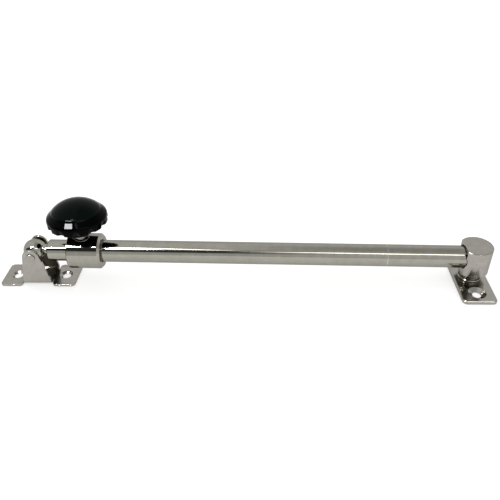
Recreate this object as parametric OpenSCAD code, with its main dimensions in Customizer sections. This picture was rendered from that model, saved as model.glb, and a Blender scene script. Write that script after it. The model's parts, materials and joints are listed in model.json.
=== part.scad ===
// Telescopic lid stay with a swivel post at one end and a pivoting bracket at the other, shown closed.
// Origin: swivel axis on the mounting face of the base plate. +Z points out of both mounting faces,
// and the closed stay runs from the post along -X to the bracket, rising a little towards it.

/* [Overall] */
// Distance along the mounting faces from the bracket's pivot to the swivel axis with the stay closed
closed_span = 237; // [195:1:320]
// Height of the tube's axis above the base plate's mounting face, at the swivel axis
post_axis_h = 14.8; // [14:0.1:22]
// Height of the bracket's pivot above its mounting face
pivot_h = 18.4; // [17:0.1:26]

/* [Tube and rod] */
// Outer diameter of the outer tube
tube_d = 12; // [10:0.5:14.4]
// Wall of the outer tube
tube_wall = 1; // [0.8:0.1:1.2]
// Step between the tube's bore and the rod, which the guide bush stops on
stop_step = 0.3; // [0.25:0.05:0.5]
// Length of the guide bush at the rod's inner end
bush_l = 10; // [6:0.5:16]
// Diameter of the rod's spigot inside the guide bush
bush_seat_d = 6; // [5:0.5:6.5]
// Free length left between the rod's screw and the swivel screw when closed
end_gap = 24; // [10:1:60]

/* [Ball head] */
// Diameter of the ball between the bracket's ears
ball_d = 12; // [10:0.5:14.5]
// Step from the rod up to the head's cylinder
head_step = 1.1; // [0.3:0.1:1.5]
// Distance from the ball's centre to the cylinder's near face
head_start = 8; // [7.5:0.1:12]
// Length of the head's cylinder
head_l = 11.3; // [10:0.1:16]
// Diameter of the neck between ball and cylinder
neck_d = 6.6; // [5:0.1:8]
// Diameter of the rod's spigot that screws into the head
spigot_d = 6; // [4:0.5:7]
// Length of that spigot
spigot_l = 9; // [6:0.5:9.5]

/* [Locking collar] */
// Diameter of the collar
collar_d = 19.2; // [17.4:0.1:23]
// Length of the collar
collar_l = 17.7; // [16:0.1:24]
// Length of the rod's guide bore in the collar
guide_l = 11.5; // [10.8:0.1:15]
// Gap between the head and the collar with the stay closed
closed_gap = 0.3; // [0.2:0.1:2]
// Distance from the collar's near face to the clamp screw
screw_x = 7.2; // [7:0.1:9]

/* [Clamp knob] */
// Diameter over the knob's lobes
knob_d = 31; // [28:0.2:38]
// Width of the sloping shoulder round the domed face
shoulder_w = 3.2; // [2:0.1:3.6]
// Rise of the dome above its edge
dome_h = 4.9; // [1:0.1:5]
// Number of finger flutes
flutes = 12; // [6:1:14]
// Radius of a flute
flute_r = 2.2; // [1.5:0.1:3]
// Height of the lobed rim with its shoulder
rim_h = 7.3; // [5.6:0.1:9]
// Height from the hub's lower face to the rim
hub_h = 6.3; // [4:0.1:14]
// Diameter of the plastic hub under the rim
hub_d = 13; // [11:0.1:16]
// Diameter of the metal insert
insert_d = 8.4; // [8:0.1:10]
// Length of insert that shows below the hub
insert_show = 2.3; // [1:0.1:5]
// Gap between the insert and the collar with the clamp tight
knob_gap = 0.6; // [0.3:0.1:3]
// Diameter of the clamp screw
screw_d = 6; // [5:0.5:6]
// Thickness of the pressure pad under the clamp screw
pad_h = 2; // [1.5:0.1:3]

/* [Bracket] */
// Sheet thickness
sheet_t = 1.4; // [1.2:0.1:2]
// Inside radius of the two bends
bend_r = 1.5; // [1:0.1:2]
// Side clearance of the ball between the ears
ear_gap = 0.3; // [0.2:0.05:1]
// Radius of the ears' round tops
ear_r = 4.5; // [3.8:0.1:5.2]
// Reach of an ear's foot away from the tube
ear_back = 7.9; // [5:0.1:9]
// Reach of an ear's foot towards the tube
ear_front = 7.6; // [7:0.1:11]
// Length of the bracket's plate
plate_l = 41; // [38:0.1:56]
// Width of the bracket's plate
plate_w = 18.1; // [16:0.1:22]
// Corner radius of the bracket's plate
plate_r = 2; // [1:0.1:2.5]
// Gap between an ear's foot and the flange beside it
relief = 0.6; // [0.4:0.1:1.5]
// Distance between the bracket's two screw holes
plate_holes = 27.4; // [27:0.1:38]
// Diameter of the bracket's screw holes
plate_hole_d = 4.4; // [3:0.1:4.6]
// Diameter of their countersinks
plate_sink_d = 7; // [5:0.1:7]
// Depth of their countersinks
plate_sink_h = 1; // [0.5:0.1:1.1]
// Diameter of the pivot pin
pin_d = 4; // [3:0.5:5]
// Diameter of the pivot pin's domed heads
pin_head_d = 4.6; // [4.2:0.1:6]
// Height of the pivot pin's domed heads
pin_head_h = 0.6; // [0.3:0.1:1]

/* [Swivel post] */
// Diameter of the post
post_d = 17.2; // [15.5:0.1:20]
// Distance from the swivel axis to the flat that the tube enters
post_flat = 6.2; // [5.6:0.1:7]
// Thickness of the post above the tube
post_cap = 1.3; // [1.1:0.1:4]
// Diameter of the neck under the post
neck_post_d = 11.2; // [9:0.1:13]
// Height of the neck under the post
neck_post_h = 2.6; // [1:0.1:4]
// Widening of the tube's hole at its mouth
mouth_gap = 0.5; // [0.3:0.1:0.6]
// How far the tube reaches past the swivel axis
tube_past = 5.5; // [3.5:0.1:6]

/* [Base plate] */
// Length of the base plate, across the tube
base_l = 43.7; // [40:0.1:60]
// Width of the base plate, along the tube
base_w = 17.8; // [17:0.1:24]
// Thickness of the base plate
base_t = 2; // [2:0.1:3]
// Corner radius of the base plate
base_r = 2.4; // [1:0.1:4]
// Distance between the base plate's two screw holes
base_holes = 29.3; // [26:0.1:42]
// Diameter of the base plate's screw holes
base_hole_d = 4.7; // [3.5:0.1:5.2]
// Diameter of their countersinks
base_sink_d = 9.3; // [7:0.1:9.4]
// Depth of their countersinks
base_sink_h = 1.4; // [1:0.1:1.5]
// Diameter of the swivel screw
swivel_d = 5; // [4:0.5:5]
// Diameter of the swivel screw's countersunk head
swivel_head_d = 8.4; // [7:0.1:9]
// Diameter of the washer under the post
washer_d = 12.8; // [10:0.1:13]
// Thickness of that washer
washer_t = 1; // [0.6:0.1:1.5]

/* [Hidden] */
$fn = 96;
eps = 0.01;

// Running clearance on a radius, for what turns or slides
run = 0.05;
// Fixing clearance on a radius, for what is screwed, moulded or riveted in
seat = 0.02;
// Clearance between flat faces that turn or slide on each other
face_gap = 0.05;

// The tube's own frame: its origin is on the swivel axis, and its -X runs up the tube to the pivot
axis_rise = pivot_h - post_axis_h;
axis_tilt = atan(axis_rise / closed_span);

// Places along the tube's axis
pivot_x = -norm([closed_span, axis_rise]);
head_x = pivot_x + head_start;
head_end_x = head_x + head_l;
collar_x = head_end_x + closed_gap;
collar_end_x = collar_x + collar_l;
clamp_x = collar_x + screw_x;
stop_x = collar_x + guide_l;
tube_end_x = tube_past;

// Tube, rod and bush
tube_bore = tube_d - 2 * tube_wall;
rod_d = tube_bore - 2 * stop_step;
head_d = rod_d + 2 * head_step;
rod_washer_t = 1;
rod_screw_d = 4;
rod_screw_l = 9;
rod_screw_head_d = 7;
rod_screw_head_h = 2.4;
rod_screw_slot = 1;
rod_screw_tip_x = -swivel_d / 2 - end_gap;
rod_washer_x = rod_screw_tip_x - rod_screw_head_h - rod_washer_t;
bush_x = rod_washer_x - face_gap - bush_l;
travel = bush_x - stop_x - face_gap;

// Grub screw under the collar
grub_d = 4;
grub_x = (stop_x + collar_end_x) / 2;
grub_recess = 0.4;

// Heights of the clamp over the tube's axis
rod_top = rod_d / 2;
collar_top = collar_d / 2;
pad_z = rod_top + face_gap;
stud_z = pad_z + pad_h + seat;
insert_z = collar_top + knob_gap;
hub_z = insert_z + insert_show;
rim_z = hub_z + hub_h;
face_z = rim_z + rim_h;
insert_cover = 8;
insert_roof = 2;
insert_top_z = hub_z + insert_cover;
stud_top_z = insert_top_z - insert_roof;

// Bracket
bracket_w = ball_d + 2 * ear_gap + 2 * sheet_t;
bend_out = bend_r + sheet_t;
fold_y = bracket_w / 2 - bend_out;

// Base and post
washer_z = base_t;
neck_z = washer_z + washer_t + face_gap;
post_z = neck_z + neck_post_h;
post_top = post_axis_h + tube_d / 2 + post_cap;
swivel_screw_gap = 2;
swivel_top = post_axis_h + tube_bore / 2 - swivel_screw_gap;

// Places what is drawn in the tube's frame
module on_tube() {
    translate([0, 0, post_axis_h]) rotate([0, axis_tilt, 0]) children();
}

// Cylinder along the tube's axis, from x to x + l
module along_x(x, l, d) {
    translate([x, 0, 0]) rotate([0, 90, 0]) cylinder(d = d, h = l);
}

// Cone frustum along the tube's axis
module cone_x(x, l, d1, d2) {
    translate([x, 0, 0]) rotate([0, 90, 0]) cylinder(d1 = d1, d2 = d2, h = l);
}

// Turned bar along X with a chamfer at each end
module turned_bar(x, l, d, near_chamfer, far_chamfer) {
    cone_x(x, near_chamfer, d - 2 * near_chamfer, d);
    along_x(x + near_chamfer, l - near_chamfer - far_chamfer, d);
    cone_x(x + l - far_chamfer, far_chamfer, d, d - 2 * far_chamfer);
}

// Flat outline of a rectangle with round corners, lower left corner at p
module round_rect(p, size, r) {
    translate(p) {
        translate([r, 0]) square([size[0] - 2 * r, size[1]]);
        translate([0, r]) square([size[0], size[1] - 2 * r]);
        for (x = [r, size[0] - r], y = [r, size[1] - r])
            translate([x, y]) circle(r);
    }
}

// Screw hole through a plate of thickness t, with a countersink in its upper face
module sunk_hole(t, hole_d, sink_d, sink_h) {
    translate([0, 0, -eps]) cylinder(d = hole_d, h = t + 2 * eps);
    translate([0, 0, t - sink_h]) cylinder(d1 = hole_d, d2 = sink_d, h = sink_h);
    translate([0, 0, t]) cylinder(d = sink_d, h = t);
}

// Low dome on the plane z = 0, as on a rivet's head
module low_dome(d, h) {
    ball_r = (d * d / 4 + h * h) / (2 * h);
    intersection() {
        translate([0, 0, h - ball_r]) sphere(ball_r);
        cylinder(d = d + 1, h = h + 1);
    }
}

// Base plate with chamfered upper edges, two screw holes and the swivel screw's seat
base_chamfer = 0.4;
module base_plate_blank() {
    full = base_t - base_chamfer;
    straight_w = base_w - 2 * base_r;
    straight_l = base_l - 2 * base_r;
    edge_w = [[-base_w / 2, 0], [base_w / 2, 0], [base_w / 2, full], [base_w / 2 - base_chamfer, base_t],
              [-base_w / 2 + base_chamfer, base_t], [-base_w / 2, full]];
    edge_l = [[-base_l / 2, 0], [base_l / 2, 0], [base_l / 2, full], [base_l / 2 - base_chamfer, base_t],
              [-base_l / 2 + base_chamfer, base_t], [-base_l / 2, full]];
    translate([0, straight_l / 2, 0]) rotate([90, 0, 0]) linear_extrude(straight_l) polygon(edge_w);
    translate([-straight_w / 2, 0, 0]) rotate([90, 0, 90]) linear_extrude(straight_w) polygon(edge_l);
    for (x = [-1, 1], y = [-1, 1])
        translate([x * straight_w / 2, y * straight_l / 2, 0]) {
            cylinder(r = base_r, h = full);
            translate([0, 0, full]) cylinder(r1 = base_r, r2 = base_r - base_chamfer, h = base_chamfer);
        }
}

swivel_head_h = (swivel_head_d - swivel_d) / 2;
head_recess = 0.1;
module base_plate() {
    sink_over = 2 * run + head_recess;
    color([0.72, 0.71, 0.68]) difference() {
        base_plate_blank();
        for (y = [-1, 1])
            translate([0, y * base_holes / 2, 0]) sunk_hole(base_t, base_hole_d, base_sink_d, base_sink_h);
        translate([0, 0, -eps]) cylinder(d = swivel_d + 2 * run, h = base_t + 2 * eps);
        translate([0, 0, -eps])
            cylinder(d1 = swivel_head_d + 2 * sink_over + 2 * eps, d2 = swivel_d + 2 * run,
                     h = swivel_head_h + sink_over - run + eps);
    }
}

// Spacer washer between plate and post, with a rounded rim
module swivel_washer() {
    rim = washer_t / 2;
    color([0.80, 0.79, 0.76]) translate([0, 0, washer_z]) difference() {
        rotate_extrude() {
            translate([washer_d / 2 - rim, rim]) circle(rim);
            square([washer_d / 2 - rim, washer_t]);
        }
        translate([0, 0, -eps]) cylinder(d = swivel_d + 4 * run, h = washer_t + 2 * eps);
    }
}

// Countersunk screw from below that carries the post and pins the tube in it
module swivel_screw() {
    socket_d = 3;
    socket_h = 1.4;
    color([0.60, 0.60, 0.60]) difference() {
        union() {
            translate([0, 0, head_recess])
                cylinder(d1 = swivel_head_d, d2 = swivel_d - 2 * seat, h = swivel_head_h + seat);
            translate([0, 0, head_recess]) cylinder(d = swivel_d - 2 * seat, h = swivel_top - head_recess);
        }
        translate([0, 0, -eps]) cylinder(d = socket_d, h = socket_h, $fn = 6);
    }
}

// Swivel post with its neck, a flat with the cross hole for the tube, and the screw's tapped hole
post_top_round = 0.6;
post_chamfer = 1.3;
tight_hole_l = 1.5;
module swivel_post() {
    r = post_d / 2;
    color([0.66, 0.65, 0.62]) difference() {
        union() {
            translate([0, 0, neck_z]) cylinder(d = neck_post_d, h = neck_post_h + eps);
            translate([0, 0, post_z]) cylinder(r1 = r - post_chamfer, r2 = r, h = post_chamfer);
            translate([0, 0, post_z + post_chamfer])
                cylinder(r = r, h = post_top - post_top_round - post_z - post_chamfer);
            translate([0, 0, post_top - post_top_round]) rotate_extrude() {
                square([r - post_top_round, post_top_round]);
                intersection() {
                    translate([r - post_top_round, 0]) circle(post_top_round);
                    square([r + 1, post_top_round]);
                }
            }
        }
        translate([-post_flat - post_d, -post_d, post_z - eps]) cube([post_d, 2 * post_d, post_top]);
        on_tube() along_x(-post_d, post_d + tube_end_x + face_gap, tube_d + 2 * seat);
        on_tube() along_x(-post_d, post_d - swivel_d / 2 - tight_hole_l, tube_d + 2 * mouth_gap);
        translate([0, 0, neck_z - eps]) cylinder(d = swivel_d, h = post_axis_h - neck_z);
    }
}

// Outer tube, drilled at the post for the swivel screw
module outer_tube() {
    x = stop_x + face_gap;
    l = tube_end_x - x;
    color([0.70, 0.69, 0.65]) difference() {
        on_tube() along_x(x, l, tube_d);
        on_tube() along_x(x - eps, l + 2 * eps, tube_bore);
        translate([0, 0, post_axis_h - tube_d]) cylinder(d = swivel_d + 2 * run, h = tube_d);
    }
}

// Locking collar: guide bore for the rod, stop shoulder, seat for the tube, tapped holes
collar_near_chamfer = 0.5;
collar_far_chamfer = 1.1;
collar_mouth = 0.7;
module locking_collar() {
    color([0.78, 0.77, 0.74]) on_tube() difference() {
        turned_bar(collar_x, collar_l, collar_d, collar_near_chamfer, collar_far_chamfer);
        along_x(collar_x - eps, collar_l, rod_d + 2 * run);
        along_x(stop_x, collar_l, tube_d + 2 * seat);
        cone_x(collar_end_x - collar_mouth, collar_mouth + eps, tube_d + 2 * seat,
               tube_d + 2 * seat + 2 * collar_mouth + 2 * eps);
        translate([clamp_x, 0, 0]) cylinder(d = screw_d, h = collar_d);
        translate([grub_x, 0, -collar_d]) cylinder(d = grub_d, h = collar_d);
    }
}

// Grub screw from below that holds the collar on the tube, with a hexagon socket
module collar_grub_screw() {
    z = -collar_d / 2 + grub_recess;
    socket_d = 2.3;
    socket_h = 1.2;
    color([0.25, 0.25, 0.26]) on_tube() difference() {
        translate([grub_x, 0, z]) cylinder(d = grub_d - 2 * seat, h = -tube_d / 2 - seat - z);
        translate([grub_x, 0, z - eps]) cylinder(d = socket_d, h = socket_h, $fn = 6);
    }
}

// Soft pressure pad that rides up and down with the clamp screw without turning
module clamp_pad() {
    color([0.80, 0.65, 0.30]) on_tube()
        translate([clamp_x, 0, pad_z]) cylinder(d = screw_d - 4 * run, h = pad_h);
}

// Clamp screw, fixed in the knob's insert
module clamp_stud() {
    tip = 0.5;
    color([0.62, 0.62, 0.62]) on_tube() translate([clamp_x, 0, stud_z]) {
        cylinder(d1 = screw_d - 2 * run - 2 * tip, d2 = screw_d - 2 * run, h = tip);
        translate([0, 0, tip]) cylinder(d = screw_d - 2 * run, h = stud_top_z - stud_z - tip);
    }
}

// Metal insert moulded into the knob, its lower end showing under the hub
module knob_insert() {
    edge = 0.4;
    color([0.72, 0.70, 0.64]) on_tube() translate([clamp_x, 0, insert_z]) difference() {
        union() {
            cylinder(d1 = insert_d - 2 * edge, d2 = insert_d, h = edge);
            translate([0, 0, edge]) cylinder(d = insert_d, h = insert_top_z - insert_z - edge);
        }
        translate([0, 0, -eps]) cylinder(d = screw_d - 2 * run + 2 * seat, h = stud_top_z - insert_z + seat);
    }
}

// Moulded knob: domed face, sloping shoulder, rim with finger flutes that deepen downwards, shallow underside
shoulder_r = 2.2;
shoulder_slope = 46;
flute_depth = 1.5;
flute_tilt = 24;
flute_below = 6;
flute_l = 18;
first_flute = 12.7;
underside_h = 1;
underside_edge = 2.4;
module knob_grip() {
    rim_r = knob_d / 2;
    face_r = rim_r - shoulder_w;
    slope_r = rim_r - shoulder_r + shoulder_r * sin(shoulder_slope);
    slope_z = face_z - (slope_r - face_r) * tan(shoulder_slope);
    round_z = slope_z - shoulder_r * cos(shoulder_slope);
    foot = 0.5;
    color([0.04, 0.06, 0.05]) on_tube() translate([clamp_x, 0, 0]) difference() {
        union() {
            translate([0, 0, face_z - eps]) low_dome(2 * face_r, dome_h + eps);
            rotate_extrude() {
                polygon([[0, rim_z + foot], [slope_r, rim_z + foot], [slope_r, slope_z],
                         [face_r, face_z], [0, face_z]]);
                translate([0, rim_z + foot]) square([rim_r, round_z - rim_z - foot]);
                intersection() {
                    translate([rim_r - shoulder_r, round_z]) circle(shoulder_r);
                    translate([0, round_z - eps]) square([rim_r + 1, rim_h]);
                }
                translate([0, rim_z]) square([rim_r - foot, rim_h / 2]);
                translate([rim_r - foot, rim_z + foot]) circle(foot);
                polygon([[0, hub_z], [hub_d / 2, hub_z], [hub_d / 2, rim_z - underside_h],
                         [rim_r - underside_edge, rim_z + eps], [0, rim_z + eps]]);
            }
        }
        for (i = [0:flutes - 1])
            rotate([0, 0, first_flute + i * 360 / flutes]) translate([rim_r - flute_depth + flute_r, 0, rim_z])
                rotate([0, flute_tilt, 0]) translate([0, 0, -flute_below]) cylinder(r = flute_r, h = flute_l);
        translate([0, 0, hub_z - eps]) cylinder(d = insert_d + 2 * seat, h = insert_top_z - hub_z + seat + eps);
    }
}

// Guide bush that runs in the tube and stops on the collar's shoulder
module guide_bush() {
    color([0.78, 0.62, 0.30]) on_tube() difference() {
        turned_bar(bush_x, bush_l, tube_bore - 2 * run, 0.2, 0.2);
        along_x(bush_x - eps, bush_l + 2 * eps, bush_seat_d + 2 * run);
    }
}

// Inner rod: screwed spigot, ground body, bush seat and tapped end
module inner_rod() {
    body_end = bush_x - face_gap;
    color([0.72, 0.72, 0.72]) on_tube() difference() {
        union() {
            along_x(head_end_x - spigot_l, spigot_l + eps, spigot_d - 2 * seat);
            turned_bar(head_end_x, body_end - head_end_x, rod_d, 0.2, 0.2);
            along_x(body_end - eps, rod_washer_x - body_end + eps, bush_seat_d);
        }
        along_x(rod_washer_x - rod_screw_l, rod_screw_l + eps, rod_screw_d);
    }
}

// Washer that keeps the guide bush on the rod
module bush_washer() {
    color([0.68, 0.68, 0.68]) on_tube() difference() {
        along_x(rod_washer_x, rod_washer_t, rod_d - 2 * stop_step);
        along_x(rod_washer_x - eps, rod_washer_t + 2 * eps, rod_screw_d + 2 * run);
    }
}

// Screw that holds the washer
module bush_screw() {
    head_x0 = rod_washer_x + rod_washer_t;
    color([0.60, 0.60, 0.60]) on_tube() difference() {
        union() {
            along_x(head_x0 - rod_screw_l, rod_screw_l + eps, rod_screw_d - 2 * seat);
            turned_bar(head_x0, rod_screw_head_h, rod_screw_head_d, 0, 0.4);
        }
        translate([head_x0 + rod_screw_head_h - rod_screw_slot, -rod_screw_head_d, -rod_screw_slot / 2])
            cube([2 * rod_screw_slot, 2 * rod_screw_head_d, rod_screw_slot]);
    }
}

// Ball-ended head, cross-drilled for the pivot pin and tapped for the rod
module rod_head() {
    color([0.78, 0.77, 0.74]) on_tube() difference() {
        union() {
            translate([pivot_x, 0, 0]) rotate([90, 0, 0]) sphere(d = ball_d);
            along_x(pivot_x, head_start + eps, neck_d);
            turned_bar(head_x, head_l, head_d, 0.6, 0.3);
        }
        translate([pivot_x, ball_d, 0]) rotate([90, 0, 0]) cylinder(d = pin_d + 2 * run, h = 2 * ball_d);
        along_x(head_end_x - spigot_l - seat, spigot_l + 1, spigot_d);
    }
}

// Riveted pivot pin with a low domed head at each end
module hinge_pin() {
    half = bracket_w / 2 + seat;
    color([0.70, 0.69, 0.64]) translate([-closed_span, 0, pivot_h]) {
        rotate([90, 0, 0]) translate([0, 0, -half]) cylinder(d = pin_d, h = 2 * half);
        for (side = [0, 180])
            rotate([90, 0, side]) translate([0, 0, half]) low_dome(pin_head_d, pin_head_h);
    }
}

// Point where the line from a foot point p meets the ear's round top
function tangent_point(p, side) =
    let (d = norm(p), turn = atan2(p[1], p[0]) + side * acos(ear_r / d))
    [ear_r * cos(turn), ear_r * sin(turn)];

// One ear, standing in the plane of X and Z with its round top at the pivot
module ear_outline() {
    foot_z = bend_out - pivot_h;
    front_foot = [ear_front, foot_z];
    back_foot = [-ear_back, foot_z];
    circle(ear_r);
    polygon([back_foot, front_foot, tangent_point(front_foot, 1), [0, 0], tangent_point(back_foot, -1)]);
}

module bracket_side() {
    translate([0, -bracket_w / 2 + sheet_t, pivot_h]) rotate([90, 0, 0]) linear_extrude(sheet_t) ear_outline();
    intersection() {
        translate([-ear_back, -fold_y, bend_out]) rotate([0, 90, 0]) difference() {
            cylinder(r = bend_out, h = ear_back + ear_front);
            translate([0, 0, -eps]) cylinder(r = bend_r, h = ear_back + ear_front + 2 * eps);
        }
        translate([-ear_back, -fold_y - bend_out, 0]) cube([ear_back + ear_front, bend_out, bend_out]);
    }
}

// Folded bracket: plate with two flanges, two bends and two ears
module clevis_bracket() {
    color([0.70, 0.69, 0.66]) translate([-closed_span, 0, 0]) difference() {
        union() {
            linear_extrude(sheet_t) {
                back_l = plate_l / 2 - ear_back - relief;
                front_l = plate_l / 2 - ear_front - relief;
                round_rect([-plate_l / 2, -plate_w / 2], [back_l, plate_w], plate_r);
                round_rect([ear_front + relief, -plate_w / 2], [front_l, plate_w], plate_r);
                translate([-plate_l / 2 + plate_r, -fold_y]) square([plate_l - 2 * plate_r, 2 * fold_y]);
            }
            bracket_side();
            mirror([0, 1, 0]) bracket_side();
        }
        for (x = [-1, 1])
            translate([x * plate_holes / 2, 0, 0])
                sunk_hole(sheet_t, plate_hole_d, plate_sink_d, plate_sink_h);
        translate([0, bracket_w, pivot_h]) rotate([90, 0, 0]) cylinder(d = pin_d + 2 * seat, h = 2 * bracket_w);
    }
}

base_plate();
swivel_washer();
swivel_screw();
swivel_post();
outer_tube();
locking_collar();
collar_grub_screw();
clamp_pad();
clamp_stud();
knob_insert();
knob_grip();
guide_bush();
inner_rod();
bush_washer();
bush_screw();
rod_head();
hinge_pin();
clevis_bracket();
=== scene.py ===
"""Looks of the lid stay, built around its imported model.

Everything is in metres in the model's own frame: +Z points out of the mounting faces, and the closed
stay runs from the swivel post along -X to the bracket. Radii and end heights are read from the nodes.
"""
import json
import math

import bmesh
import bpy
from mathutils import Matrix, Vector


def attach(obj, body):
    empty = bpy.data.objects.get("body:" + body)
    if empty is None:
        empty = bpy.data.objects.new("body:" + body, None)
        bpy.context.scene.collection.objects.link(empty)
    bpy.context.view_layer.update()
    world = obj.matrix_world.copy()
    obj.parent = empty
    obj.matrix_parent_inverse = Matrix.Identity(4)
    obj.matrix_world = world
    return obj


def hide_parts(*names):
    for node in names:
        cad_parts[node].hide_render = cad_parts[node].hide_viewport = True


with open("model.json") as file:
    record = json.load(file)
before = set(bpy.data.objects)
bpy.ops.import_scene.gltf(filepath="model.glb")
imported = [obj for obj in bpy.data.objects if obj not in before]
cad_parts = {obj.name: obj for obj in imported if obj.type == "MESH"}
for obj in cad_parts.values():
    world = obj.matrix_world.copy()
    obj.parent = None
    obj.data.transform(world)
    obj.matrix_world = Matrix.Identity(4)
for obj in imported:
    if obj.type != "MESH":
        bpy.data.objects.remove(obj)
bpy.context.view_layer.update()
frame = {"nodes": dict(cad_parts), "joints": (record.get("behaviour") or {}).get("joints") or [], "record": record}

MM = 0.001

# Places taken from the frame

NODES = frame["nodes"]
JOINTS = {joint["name"]: joint for joint in frame["joints"]}
BODY_OF = {node: body for body, names in frame["record"]["behaviour"]["bodies"].items() for node in names}

PIVOT = Vector(JOINTS["rod_twist"]["pos_m"])
ALONG = -Vector(JOINTS["rod_slide"]["axis"]).normalized()
CLAMP = Vector(JOINTS["knob_turn"]["pos_m"])
LIFT = Vector(JOINTS["knob_turn"]["axis"]).normalized()
TUBE_TILT = math.atan2(-ALONG.z, ALONG.x)

KNOB_FRAME = Matrix.Translation(CLAMP) @ Matrix((ALONG, LIFT.cross(ALONG), LIFT)).transposed().to_4x4()
PIN_FRAME = Matrix.Translation(PIVOT) @ Matrix.Rotation(-math.pi / 2, 4, "X")

# How near two measures of a node have to be to count as one
SAME = 0.02 * MM


def round_points(node, place):
    """A CAD node's vertices as pairs (r, z) about the Z axis of the frame called place."""
    back = place.inverted()
    points = [back @ vertex.co for vertex in NODES[node].data.vertices]
    return [(math.hypot(p.x, p.y), p.z) for p in points]


# Building blocks for meshes

EDGE_ANGLE = math.radians(25)
EDGE_SEGMENTS = 3
FLAT_WEIGHT = 90
COPLANAR = math.radians(0.4)
WELD = 0.002 * MM
SPIN_STEPS = 64


def to_mesh(bm, name):
    """Ends the editing of a mesh and gives it as a mesh with this name."""
    mesh = bpy.data.meshes.new(name)
    bm.to_mesh(mesh)
    bm.free()
    return mesh


def new_object(name, mesh, node, place=None):
    """Links a mesh as a piece that stands for a CAD node, rides on its body and hides the node."""
    if place is not None:
        mesh.transform(place)
    piece = bpy.data.objects.new(name, mesh)
    bpy.context.scene.collection.objects.link(piece)
    for polygon in mesh.polygons:
        polygon.use_smooth = True
    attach(piece, BODY_OF[node])
    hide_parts(node)
    return piece


def soften_edges(piece, width):
    """Rounds every sharp edge and keeps the flat faces flat in their shading."""
    bevel = piece.modifiers.new("edges", "BEVEL")
    bevel.width = width
    bevel.segments = EDGE_SEGMENTS
    bevel.limit_method = "ANGLE"
    bevel.angle_limit = EDGE_ANGLE
    bevel.use_clamp_overlap = True
    bevel.harden_normals = False
    normals = piece.modifiers.new("shading", "WEIGHTED_NORMAL")
    normals.keep_sharp = False
    normals.weight = FLAT_WEIGHT
    return piece


def machined_copy(name, node, width):
    """A piece with a CAD node's shape, its flats made whole again and its edges broken by width."""
    bm = bmesh.new()
    bm.from_mesh(NODES[node].data)
    bmesh.ops.remove_doubles(bm, verts=bm.verts, dist=WELD)
    bmesh.ops.dissolve_degenerate(bm, dist=WELD, edges=bm.edges)
    bmesh.ops.dissolve_limit(bm, angle_limit=COPLANAR, verts=bm.verts, edges=bm.edges)
    bmesh.ops.recalc_face_normals(bm, faces=bm.faces)
    return soften_edges(new_object(name, to_mesh(bm, name), node), width)


def arc(centre, radius, first, last, steps):
    """Points (r, z) on an arc about centre, between two angles in degrees from the +r direction."""
    turns = [math.radians(first + (last - first) * i / steps) for i in range(steps + 1)]
    return [(centre[0] + radius * math.cos(a), centre[1] + radius * math.sin(a)) for a in turns]


def line(start, end, steps):
    """Points (r, z) on a straight run, without its last point."""
    return [(start[0] + (end[0] - start[0]) * i / steps, start[1] + (end[1] - start[1]) * i / steps)
            for i in range(steps)]


def join_rings(bm, low, high):
    """A band of faces between two rings with as many vertices."""
    for i in range(len(low)):
        j = (i + 1) % len(low)
        bm.faces.new((low[i], low[j], high[j], high[i]))


def close_ring(bm, ring, tip):
    """A fan of faces from a ring to a vertex on its axis."""
    for i in range(len(ring)):
        bm.faces.new((ring[i], ring[(i + 1) % len(ring)], tip))


def spun(name, outline, node, place):
    """A closed solid turned from an outline of (r, z) points that starts and ends on the axis."""
    bm = bmesh.new()
    turns = [2 * math.pi * i / SPIN_STEPS for i in range(SPIN_STEPS)]
    rings = [[bm.verts.new((r * math.cos(a), r * math.sin(a), z)) for a in turns] for r, z in outline[1:-1]]
    for low, high in zip(rings, rings[1:]):
        join_rings(bm, low, high)
    close_ring(bm, rings[0], bm.verts.new((0, 0, outline[0][1])))
    close_ring(bm, rings[-1], bm.verts.new((0, 0, outline[-1][1])))
    bmesh.ops.recalc_face_normals(bm, faces=bm.faces)
    return new_object(name, to_mesh(bm, name), node, place)


# The clamp knob

KNOB_FLUTES = 12
FIRST_FLUTE = math.radians(12.7)
FLUTE_R = 2.2 * MM
FLUTE_DEPTH = 1.5 * MM
FLUTE_LEAN = math.tan(math.radians(24))
FLUTE_EDGE = 0.16 * MM
SHOULDER_W = 3.2 * MM
SHOULDER_R = 2.2 * MM
SHOULDER_SLOPE = math.radians(46)
FACE_STEP_W = 0.12 * MM
FACE_STEP_H = 0.30 * MM
DOME_H = 4.9 * MM
RIM_H = 7.3 * MM
UNDERSIDE_H = 1 * MM
UNDERSIDE_EDGE = 2.4 * MM
FOOT_ROUND = 0.6 * MM
HUB_ROUND = 0.4 * MM
BORE_H = 8 * MM

# Into how many steps each flute and each stretch of the knob's outline is cut
STEPS_PER_FLUTE = 32
KNOB_STEPS = {
    "hub_face": 3, "hub_round": 5, "hub_side": 4, "underside": 8, "foot_face": 4, "foot_round": 6, "side": 8,
    "shoulder_round": 8, "shoulder": 8, "face_step": 2, "dome": 16,
}

KNOB_POINTS = round_points("knob_grip", KNOB_FRAME)
KNOB_FACE_Z = max(z for r, z in KNOB_POINTS) - DOME_H


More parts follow.
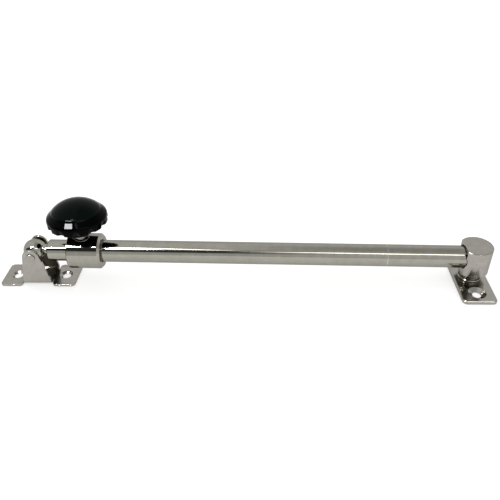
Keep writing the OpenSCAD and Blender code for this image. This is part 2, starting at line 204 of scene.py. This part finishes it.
def knob_profile(bore_r, hub_r, rim_r, hub_z, rim_z):
    """The knob's outline from the edge of its bore, under the hub and rim, up to the top of the dome."""
    steps = KNOB_STEPS
    face_r = rim_r - SHOULDER_W
    dome_r = (face_r ** 2 + DOME_H ** 2) / (2 * DOME_H)
    dome_edge = math.degrees(math.asin(face_r / dome_r))
    slope_r = rim_r - SHOULDER_R + SHOULDER_R * math.sin(SHOULDER_SLOPE)
    slope_z = KNOB_FACE_Z - (slope_r - face_r) * math.tan(SHOULDER_SLOPE)
    round_z = slope_z - SHOULDER_R * math.cos(SHOULDER_SLOPE)
    round_end = 90 - math.degrees(SHOULDER_SLOPE)
    under_start = (hub_r, rim_z - UNDERSIDE_H)
    under_end = (rim_r - UNDERSIDE_EDGE, rim_z)
    step_foot = (face_r + FACE_STEP_W, KNOB_FACE_Z - FACE_STEP_H)
    outline = line((bore_r, hub_z), (hub_r - HUB_ROUND, hub_z), steps["hub_face"])
    outline += arc((hub_r - HUB_ROUND, hub_z + HUB_ROUND), HUB_ROUND, -90, 0, steps["hub_round"])[:-1]
    outline += line((hub_r, hub_z + HUB_ROUND), under_start, steps["hub_side"])
    outline += line(under_start, under_end, steps["underside"])
    outline += line(under_end, (rim_r - FOOT_ROUND, rim_z), steps["foot_face"])
    outline += arc((rim_r - FOOT_ROUND, rim_z + FOOT_ROUND), FOOT_ROUND, -90, 0, steps["foot_round"])[:-1]
    outline += line((rim_r, rim_z + FOOT_ROUND), (rim_r, round_z), steps["side"])
    outline += arc((rim_r - SHOULDER_R, round_z), SHOULDER_R, 0, round_end, steps["shoulder_round"])[:-1]
    outline += line((slope_r, slope_z), step_foot, steps["shoulder"])
    outline += line(step_foot, (face_r, KNOB_FACE_Z), steps["face_step"])
    outline += arc((0, KNOB_FACE_Z + DOME_H - dome_r), dome_r, 90 - dome_edge, 90, steps["dome"])[:-1]
    return outline


def flute_limit(angle, z, rim_r, rim_z):
    """How far out the nearest flute lets the rim reach at this angle and height."""
    pitch = 2 * math.pi / KNOB_FLUTES
    off = (angle - FIRST_FLUTE + pitch / 2) % pitch - pitch / 2
    centre = rim_r - FLUTE_DEPTH + FLUTE_R + (z - rim_z) * FLUTE_LEAN
    across = centre * math.sin(off)
    if abs(across) >= FLUTE_R:
        return 2 * rim_r
    return centre * math.cos(off) - math.sqrt(FLUTE_R ** 2 - across ** 2)


def soft_min(a, b, k):
    """The lesser of two lengths, with the corner between them rounded over about k."""
    low = min(a, b)
    return low - k * math.log(math.exp((low - a) / k) + math.exp((low - b) / k))


def build_knob():
    """The moulded knob: domed face, sloping shoulder, and flutes that deepen towards the rim's foot."""
    hub_z = min(z for r, z in KNOB_POINTS)
    rim_r = max(r for r, z in KNOB_POINTS)
    hub_face = [r for r, z in KNOB_POINTS if z < hub_z + SAME]
    rim_z = KNOB_FACE_Z - RIM_H
    around = KNOB_FLUTES * STEPS_PER_FLUTE
    turns = [2 * math.pi * i / around for i in range(around)]

    bm = bmesh.new()
    rings = []
    for r, z in knob_profile(min(hub_face), max(hub_face), rim_r, hub_z, rim_z):
        reach = [r] * around
        if z >= rim_z - UNDERSIDE_H:
            reach = [soft_min(r, flute_limit(a, z, rim_r, rim_z), FLUTE_EDGE) for a in turns]
        rings.append([bm.verts.new((out * math.cos(a), out * math.sin(a), z))
                      for out, a in zip(reach, turns)])
    for low, high in zip(rings, rings[1:]):
        join_rings(bm, low, high)
    close_ring(bm, rings[-1], bm.verts.new((0, 0, KNOB_FACE_Z + DOME_H)))
    # The bore for the insert closes the solid from inside.
    bore = [bm.verts.new((vert.co.x, vert.co.y, hub_z + BORE_H)) for vert in rings[0]]
    join_rings(bm, bore, rings[0])
    bm.faces.new(bore)
    bmesh.ops.recalc_face_normals(bm, faces=bm.faces)
    return new_object("knob_moulding", to_mesh(bm, "knob_moulding"), "knob_grip", KNOB_FRAME)


# The pivot pin

PIN_EDGE = 0.35 * MM
PIN_EDGE_TURN = 84
PIN_EDGE_STEPS = 8
DIMPLE_R = 0.8 * MM
DIMPLE_H = 0.22 * MM
DIMPLE_LIP = 0.01 * MM
DIMPLE_SHARES = (1, 0.85, 0.6, 0.3)


def build_pin():
    """The pivot pin: its ends stand proud of the ears, with rounded edges and a punched dimple."""
    points = round_points("hinge_pin", PIN_FRAME)
    top = max(z for r, z in points)
    head_r = max(r for r, z in points)
    foot = min(z for r, z in points if z > 0 and r > head_r - SAME)
    shank_r = min(r for r, z in points if abs(z - foot) < SAME)
    end = [(shank_r, foot), (head_r, foot)]
    end += arc((head_r - PIN_EDGE, top - PIN_EDGE), PIN_EDGE, 0, PIN_EDGE_TURN, PIN_EDGE_STEPS)
    end += [(DIMPLE_R * share, top + DIMPLE_LIP - DIMPLE_H * (1 - share ** 2)) for share in DIMPLE_SHARES]
    end += [(0, top - DIMPLE_H)]
    outline = [(r, -z) for r, z in reversed(end)] + end
    return spun("pin_riveted", outline, "hinge_pin", PIN_FRAME)


# Building blocks for materials

def shader(name):
    """A fresh node material: its tree, its Principled shader and the object's own coordinates."""
    material = bpy.data.materials.new(name)
    material.use_nodes = True
    tree = material.node_tree
    tree.nodes.clear()
    out = tree.nodes.new("ShaderNodeOutputMaterial")
    principled = tree.nodes.new("ShaderNodeBsdfPrincipled")
    tree.links.new(principled.outputs["BSDF"], out.inputs["Surface"])
    coordinates = tree.nodes.new("ShaderNodeTexCoord")
    return material, tree, principled, coordinates.outputs["Object"]


def aligned(tree, vector, scale):
    """Coordinates turned to run along the tube, with a scale per axis."""
    mapping = tree.nodes.new("ShaderNodeMapping")
    mapping.inputs["Rotation"].default_value = (0, -TUBE_TILT, 0)
    tree.links.new(vector, mapping.inputs["Vector"])
    stretch = tree.nodes.new("ShaderNodeVectorMath")
    stretch.operation = "MULTIPLY"
    stretch.inputs[1].default_value = scale
    tree.links.new(mapping.outputs["Vector"], stretch.inputs[0])
    return stretch.outputs["Vector"]


def distance_along(tree, vector, direction):
    """How far coordinates lie along a direction."""
    node = tree.nodes.new("ShaderNodeVectorMath")
    node.operation = "DOT_PRODUCT"
    node.inputs[1].default_value = direction
    tree.links.new(vector, node.inputs[0])
    return node.outputs["Value"]


def noise(tree, vector, scale, detail, roughness=0.5):
    """Fractal noise at these coordinates."""
    node = tree.nodes.new("ShaderNodeTexNoise")
    node.inputs["Scale"].default_value = scale
    node.inputs["Detail"].default_value = detail
    node.inputs["Roughness"].default_value = roughness
    tree.links.new(vector, node.inputs["Vector"])
    return node.outputs["Fac"]


def math_node(tree, operation, *values):
    """A Math node on sockets or numbers."""
    node = tree.nodes.new("ShaderNodeMath")
    node.operation = operation
    for value, target in zip(values, node.inputs):
        if isinstance(value, (int, float)):
            target.default_value = value
        else:
            tree.links.new(value, target)
    return node.outputs["Value"]


def spread(tree, value, low, high, to_low, to_high, kind="LINEAR"):
    """Maps a value from one range to another, held at the ends."""
    node = tree.nodes.new("ShaderNodeMapRange")
    node.interpolation_type = kind
    node.inputs["From Min"].default_value = low
    node.inputs["From Max"].default_value = high
    node.inputs["To Min"].default_value = to_low
    node.inputs["To Max"].default_value = to_high
    tree.links.new(value, node.inputs["Value"])
    return node.outputs["Result"]


def blend(tree, factor, first, second):
    """Mixes two colours, or the outputs of nodes, by a factor from 0 to 1."""
    node = tree.nodes.new("ShaderNodeMix")
    node.data_type = "RGBA"
    tree.links.new(factor, node.inputs["Factor"])
    for socket, colour in (("A", first), ("B", second)):
        target = [s for s in node.inputs if s.name == socket and s.type == "RGBA"][0]
        if isinstance(colour, tuple):
            target.default_value = (*colour, 1)
        else:
            tree.links.new(colour, target)
    return [s for s in node.outputs if s.type == "RGBA"][0]


def bump(tree, height, distance):
    """A normal that a height from 0 to 1 tilts, as if it were distance deep."""
    node = tree.nodes.new("ShaderNodeBump")
    node.inputs["Distance"].default_value = distance
    tree.links.new(height, node.inputs["Height"])
    return node.outputs["Normal"]


def shade(tone, factor):
    """A colour made darker or paler."""
    return tuple(c * factor for c in tone)


# Materials

EDGE_TINT = (0.55, 0.55, 0.55)
NICKEL = (0.330, 0.322, 0.284)
SATIN = (0.350, 0.336, 0.310)
ZINC = (0.42, 0.42, 0.43)
BLACKENED = (0.03, 0.03, 0.032)
BRASS = (0.62, 0.43, 0.16)

# The part of a noise's range that its values fill
NOISE_RANGE = (0.3, 0.7)

# Nickel plate: each noise has its scale, detail and roughness.
PLATE_CLOUDS = (260, 4, 0.6)
PLATE_CLOUD_RANGE = (0.32, 0.68)
PLATE_DEEP_TINT = (1.01, 0.99, 0.95)
PLATE_LINES = (1000, 2, 0.6)
PLATE_LINE_RANGE = (0.3, 0.75)
PLATE_LINE_SHARE = 0.35
PLATE_LINE_SHADE = 0.82
PLATE_ROUGH_RANGE = (0.85, 1.2)
PIT_SCALE = 170
PIT_EDGE = 1.6
PIT_SHADE = 0.4

# Scale per axis of the plate's fine lines: along an axis with a low number they run far.
ROUND_TUBE = (1, 0.03, 0.03)
ROUND_ROD = (1, 0.02, 0.02)
DRAWN = (0.012, 1, 1)
UPRIGHT = (0.2, 0.2, 1)
ROLLED = (0.3, 0.3, 0.3)
HEADED = (0.5, 0.5, 0.5)


def nickel(name, tone, rough, grain, depth, mottle=0.05, pits=0.0):
    """Nickel plate with pale and deep clouds, fine lines of this depth and, on some pieces, pits."""
    material, tree, surface, place = shader(name)
    surface.inputs["Metallic"].default_value = 1
    surface.inputs["Specular Tint"].default_value = (*EDGE_TINT, 1)
    pale = shade(tone, 1 + mottle)
    deep = shade([c * tint for c, tint in zip(tone, PLATE_DEEP_TINT)], 1 - mottle)
    clouds = noise(tree, place, *PLATE_CLOUDS)
    colour = blend(tree, spread(tree, clouds, *PLATE_CLOUD_RANGE, 0, 1), deep, pale)
    lines = noise(tree, aligned(tree, place, grain), *PLATE_LINES)
    line_share = spread(tree, lines, *PLATE_LINE_RANGE, 0, PLATE_LINE_SHARE)
    colour = blend(tree, line_share, colour, shade(tone, PLATE_LINE_SHADE))
    if pits:
        cells = tree.nodes.new("ShaderNodeTexVoronoi")
        cells.inputs["Scale"].default_value = PIT_SCALE
        tree.links.new(place, cells.inputs["Vector"])
        specks = spread(tree, cells.outputs["Distance"], pits, pits * PIT_EDGE, 1, 0)
        colour = blend(tree, specks, colour, shade(tone, PIT_SHADE))
    roughness = spread(tree, clouds, *NOISE_RANGE, *shade(PLATE_ROUGH_RANGE, rough))
    tree.links.new(colour, surface.inputs["Base Color"])
    tree.links.new(roughness, surface.inputs["Roughness"])
    tree.links.new(bump(tree, lines, depth), surface.inputs["Normal"])
    return material


# Hairline marks round the tube: each has its place along the axis, its half width, its tone and how sparse it is.
RING_MARK_NOISE = (420, 2)
RING_MARK_SOFTNESS = 0.12
RING_MARK_PALE = (0.62, 0.60, 0.54)
RING_MARK_DARK = (0.10, 0.09, 0.08)
RING_MARKS = [
    (-47.4 * MM, 0.25 * MM, RING_MARK_PALE, 0.40),
    (-43.2 * MM, 0.20 * MM, RING_MARK_DARK, 0.62),
    (-95.9 * MM, 0.20 * MM, RING_MARK_DARK, 0.62),
]


def add_ring_mark(material, at, width, tone, sparse):
    """A hairline ring of one tone round the tube, broken by noise, at a place along its axis."""
    tree = material.node_tree
    surface = [node for node in tree.nodes if node.type == "BSDF_PRINCIPLED"][0]
    place = [node for node in tree.nodes if node.type == "TEX_COORD"][0].outputs["Object"]
    off = math_node(tree, "ABSOLUTE", math_node(tree, "SUBTRACT", distance_along(tree, place, ALONG), at))
    ring = spread(tree, off, 0, width, 1, 0, "SMOOTHSTEP")
    broken = spread(tree, noise(tree, place, *RING_MARK_NOISE), sparse, sparse + RING_MARK_SOFTNESS, 0, 1)
    mark = math_node(tree, "MULTIPLY", ring, broken)
    colour = surface.inputs["Base Color"].links[0].from_socket
    tree.links.new(blend(tree, mark, colour, tone), surface.inputs["Base Color"])


def ring_marked_tube():
    """The drawn tube's nickel, with its hairline ring marks."""
    material = nickel("tube_nickel", NICKEL, 0.10, DRAWN, 0.010 * MM, mottle=0.07, pits=0.02)
    for ring_mark in RING_MARKS:
        add_ring_mark(material, *ring_mark)
    return material


# Painted light: the knob's face gets paler, greener colours than its skirt, which is painted near black as shade.
FACE_LIT_DEEP = (0.0006, 0.0030, 0.0023)
FACE_LIT_PALE = (0.0014, 0.0050, 0.0042)
SKIRT_SHADED_TONE = (0.0002, 0.0003, 0.0003)
SKIRT_SPECULAR = 0.035
FACE_SPECULAR = 0.05
FACE_BLEND_H = 0.4 * MM
PLASTIC_CLOUDS = (180, 3)
PLASTIC_SHEEN = (420, 2)
PLASTIC_ROUGH = (0.05, 0.09)
PEEL = (700, 2)
PEEL_DEPTH = 0.006 * MM


def black_plastic(name):
    """Glossy moulded plastic with an orange-peel skin, and painted light on the knob's face: paler, greener, more
    specular.
    """
    material, tree, surface, place = shader(name)
    # Painted light on the face: paler, greener colours and more specular than the skirt.
    face = blend(tree, noise(tree, place, *PLASTIC_CLOUDS), FACE_LIT_DEEP, FACE_LIT_PALE)
    face_at = CLAMP.dot(LIFT) + KNOB_FACE_Z
    face_lit_mask = spread(tree, distance_along(tree, place, LIFT), face_at - FACE_BLEND_H, face_at, 0, 1)
    specular = spread(tree, face_lit_mask, 0, 1, SKIRT_SPECULAR, FACE_SPECULAR)
    roughness = spread(tree, noise(tree, place, *PLASTIC_SHEEN), *NOISE_RANGE, *PLASTIC_ROUGH)
    tree.links.new(blend(tree, face_lit_mask, SKIRT_SHADED_TONE, face), surface.inputs["Base Color"])
    tree.links.new(specular, surface.inputs["Specular IOR Level"])
    tree.links.new(roughness, surface.inputs["Roughness"])
    tree.links.new(bump(tree, noise(tree, place, *PEEL), PEEL_DEPTH), surface.inputs["Normal"])
    return material


TURNED_CLOUDS = (500, 4, 0.6)
TURNED_ROUGH_RANGE = (0.8, 1.3)
TURNED_GRAIN = (1, 0.1, 0.1)
TURNED_LINES = (2500, 2)
TURNED_DEPTH = 0.01 * MM


def plain_metal(name, tone, rough, mottle=0.08):
    """A turned or plated small part with faint turning lines and tarnish."""
    material, tree, surface, place = shader(name)
    surface.inputs["Metallic"].default_value = 1
    clouds = noise(tree, place, *TURNED_CLOUDS)
    colour = blend(tree, clouds, shade(tone, 1 - mottle), shade(tone, 1 + mottle))
    roughness = spread(tree, clouds, *NOISE_RANGE, *shade(TURNED_ROUGH_RANGE, rough))
    lines = noise(tree, aligned(tree, place, TURNED_GRAIN), *TURNED_LINES)
    tree.links.new(colour, surface.inputs["Base Color"])
    tree.links.new(roughness, surface.inputs["Roughness"])
    tree.links.new(bump(tree, lines, TURNED_DEPTH), surface.inputs["Normal"])
    return material


MATERIALS = {
    "locking_collar": nickel("collar_nickel", NICKEL, 0.055, ROUND_TUBE, 0.004 * MM),
    "rod_head": nickel("head_nickel", NICKEL, 0.055, ROUND_TUBE, 0.004 * MM),
    "swivel_washer": nickel("washer_nickel", NICKEL, 0.12, UPRIGHT, 0.003 * MM),
    "knob_insert": nickel("insert_nickel", NICKEL, 0.14, UPRIGHT, 0.004 * MM),
    "outer_tube": ring_marked_tube(),
    "inner_rod": nickel("rod_nickel", NICKEL, 0.07, ROUND_ROD, 0.004 * MM),
    "swivel_post": nickel("post_nickel", SATIN, 0.20, UPRIGHT, 0.006 * MM, mottle=0.09, pits=0.03),
    "base_plate": nickel("base_nickel", SATIN, 0.16, ROLLED, 0.006 * MM, mottle=0.06, pits=0.03),
    "clevis_bracket": nickel("bracket_nickel", SATIN, 0.17, ROLLED, 0.006 * MM, mottle=0.06, pits=0.03),
    "hinge_pin": nickel("pin_nickel", SATIN, 0.16, HEADED, 0.006 * MM),
    "knob_grip": black_plastic("knob_black"),
    "swivel_screw": plain_metal("swivel_zinc", ZINC, 0.30),
    "clamp_stud": plain_metal("stud_zinc", ZINC, 0.28),
    "bush_washer": plain_metal("washer_zinc", ZINC, 0.30),
    "bush_screw": plain_metal("screw_zinc", ZINC, 0.30),
    "collar_grub_screw": plain_metal("grub_black", BLACKENED, 0.40, mottle=0.2),
    "clamp_pad": plain_metal("pad_brass", BRASS, 0.26),
    "guide_bush": plain_metal("bush_brass", BRASS, 0.24),
}


def dress(piece, material):
    """Gives a piece or a CAD node one material on all of its faces."""
    piece.data.materials.clear()
    piece.data.materials.append(material)


# Pieces

# Turned, folded and stamped pieces: each has its name and how wide its edges are broken.
MACHINED = {
    "locking_collar": ("collar_turned", 0.15 * MM),
    "rod_head": ("ball_head_turned", 0.12 * MM),
    "swivel_washer": ("washer_turned", 0.08 * MM),
    "swivel_post": ("post_turned", 0.12 * MM),
    "base_plate": ("base_plate_stamped", 0.04 * MM),
    "clevis_bracket": ("bracket_folded", 0.16 * MM),
    "knob_insert": ("insert_turned", 0.08 * MM),
}

replaced = {"knob_grip": build_knob(), "hinge_pin": build_pin()}
for node, (name, width) in MACHINED.items():
    replaced[node] = machined_copy(name, node, width)
for node, material in MATERIALS.items():
    dress(replaced.get(node, NODES[node]), material)


# Floor and studio

FLOOR_SIZE = 6.0
FLOOR_Z = -0.05 * MM
FLOOR_TONE = (0.96, 0.96, 0.96)
FLOOR_ROUGH = 0.9
FLOOR_GLOW = 0.48


def build_floor():
    """A plain white floor just under the plane of the two mounting faces."""
    bm = bmesh.new()
    half = FLOOR_SIZE / 2
    corners = ((-half, -half), (half, -half), (half, half), (-half, half))
    bm.faces.new([bm.verts.new((x, y, FLOOR_Z)) for x, y in corners])
    floor = bpy.data.objects.new("floor", to_mesh(bm, "floor"))
    bpy.context.scene.collection.objects.link(floor)
    material, _, surface, _ = shader("floor_white")
    surface.inputs["Base Color"].default_value = (*FLOOR_TONE, 1)
    surface.inputs["Roughness"].default_value = FLOOR_ROUGH
    surface.inputs["Specular IOR Level"].default_value = 0
    surface.inputs["Emission Color"].default_value = (1, 1, 1, 1)
    surface.inputs["Emission Strength"].default_value = FLOOR_GLOW
    dress(floor, material)


# The studio's brightness by the angle in degrees from straight up towards the camera's side. On the
# bracket's side it has the dark gap that the camera stands in, on the post's side it is dimmer overhead.
STUDIO_BRACKET_SIDE = [(-180, 0.80), (-90, 0.85), (-40, 0.95), (0, 0.95), (24, 0.85), (34, 0.06), (38, 0.04),
                       (57, 0.04), (65, 0.70), (90, 0.85), (180, 0.80)]
STUDIO_POST_SIDE = [(-180, 0.80), (-90, 0.90), (-52, 0.95), (-20, 0.57), (14, 0.57), (38, 0.90), (54, 0.95),
                    (66, 0.90), (90, 0.85), (180, 0.80)]
# The X of a direction where the one side goes over into the other
STUDIO_TURN = (-0.10, 0.20)


def build_world():
    """A pale studio all round, whose brightness follows the two lists above."""
    world = bpy.data.worlds.new("studio")
    bpy.context.scene.world = world
    world.use_nodes = True
    tree = world.node_tree
    tree.nodes.clear()
    out = tree.nodes.new("ShaderNodeOutputWorld")
    back = tree.nodes.new("ShaderNodeBackground")
    tree.links.new(back.outputs["Background"], out.inputs["Surface"])
    split = tree.nodes.new("ShaderNodeSeparateXYZ")
    tree.links.new(tree.nodes.new("ShaderNodeTexCoord").outputs["Generated"], split.inputs["Vector"])
    towards = math_node(tree, "MULTIPLY", split.outputs["Y"], -1)
    lean = math_node(tree, "ARCTAN2", towards, split.outputs["Z"])
    place = spread(tree, lean, -math.pi, math.pi, 0, 1)
    levels = []
    for stops in (STUDIO_BRACKET_SIDE, STUDIO_POST_SIDE):
        ramp = tree.nodes.new("ShaderNodeValToRGB")
        tree.links.new(place, ramp.inputs["Fac"])
        elements = ramp.color_ramp.elements
        elements.remove(elements[-1])
        for i, (angle, level) in enumerate(stops):
            at = (angle + 180) / 360
            stop = elements[0] if i == 0 else elements.new(at)
            stop.position = at
            stop.color = (level, level, level, 1)
        levels.append(ramp.outputs["Color"])
    side = spread(tree, split.outputs["X"], *STUDIO_TURN, 0, 1, "SMOOTHSTEP")
    tree.links.new(blend(tree, side, *levels), back.inputs["Color"])


# Strip lights, all at one height and turned to the stay. They make reflections only: the floor and the
# studio give the rest of the light. Each has its start and end (x, y), its width and its power. A fade says
# where it is dark and where it is full, from 0 at its start to 1 at its end. The glint is a strong lamp for
# the knob, which counts for first reflections only.
STRIP_Z = 0.42
STAY_MIDDLE = Vector((-0.12, 0, 0.015))
STRIPS = {
    "strip_left": {"start": (-0.40, -0.255), "end": (-0.25, -0.16), "width": 0.05, "power": 0.32},
    "strip_middle": {"start": (-0.26, -0.165), "end": (-0.13, -0.26), "width": 0.04, "power": 0.12,
                     "fade": (1, 0.5)},
    "strip_right": {"start": (-0.16, -0.34), "end": (0.30, -0.34), "width": 0.05, "power": 0.38,
                    "fade": (0, 0.35)},
    "glint": {"start": (-0.46, -0.231), "end": (-0.27, -0.249), "width": 0.022, "power": 3.2,
              "first_only": True},
}


def add_strip(name, start, end, width, power, fade=None, first_only=False):
    """A long soft light between two places at the strips' height, facing the stay."""
    start, end = Vector((*start, STRIP_Z)), Vector((*end, STRIP_Z))
    along = (end - start).normalized()
    back = (start + end) / 2 - STAY_MIDDLE
    back = (back - along * back.dot(along)).normalized()
    light = bpy.data.lights.new(name, "AREA")
    light.shape = "RECTANGLE"
    light.size = (end - start).length
    light.size_y = width
    light.energy = power
    if first_only:
        light.cycles.max_bounces = 0
    if fade:
        light.use_nodes = True
        tree = light.node_tree
        split = tree.nodes.new("ShaderNodeSeparateXYZ")
        tree.links.new(tree.nodes.new("ShaderNodeNewGeometry").outputs["Parametric"], split.inputs["Vector"])
        level = spread(tree, split.outputs["X"], *fade, 0, 1, "SMOOTHSTEP")
        tree.links.new(level, tree.nodes["Emission"].inputs["Strength"])
    lamp = bpy.data.objects.new(name, light)
    lamp.visible_diffuse = False
    turn = Matrix((along, back.cross(along), back)).transposed()
    lamp.matrix_world = Matrix.Translation((start + end) / 2) @ turn.to_4x4()
    bpy.context.scene.collection.objects.link(lamp)


# The camera was fitted to the photograph's outlines: its place, its turns and its focal length in pixels.
CAMERA_PLACE = Vector((-111.639, -240.562, 192.835)) * MM
CAMERA_PITCH = math.radians(35.886)
CAMERA_YAW = math.radians(2.024)
CAMERA_ROLL = math.radians(-0.970)
FOCAL_PX = 552.47
PHOTO_PX = 500
SENSOR_MM = 36
CLIP_NEAR = 0.005
CLIP_FAR = 20


def build_camera():
    """The camera at the photograph's angle."""
    data = bpy.data.cameras.new("camera")
    data.sensor_width = SENSOR_MM
    data.lens = SENSOR_MM * FOCAL_PX / PHOTO_PX
    data.clip_start = CLIP_NEAR
    data.clip_end = CLIP_FAR
    camera = bpy.data.objects.new("camera", data)
    camera.matrix_world = (Matrix.Translation(CAMERA_PLACE) @ Matrix.Rotation(CAMERA_YAW, 4, "Z")
                           @ Matrix.Rotation(math.pi / 2 - CAMERA_PITCH, 4, "X")
                           @ Matrix.Rotation(CAMERA_ROLL, 4, "Z"))
    bpy.context.scene.collection.objects.link(camera)
    bpy.context.scene.camera = camera


build_floor()
build_world()
build_camera()
for name, strip in STRIPS.items():
    add_strip(name, **strip)
bpy.context.scene.view_settings.view_transform = "Standard"
bpy.context.scene.view_settings.look = "None"
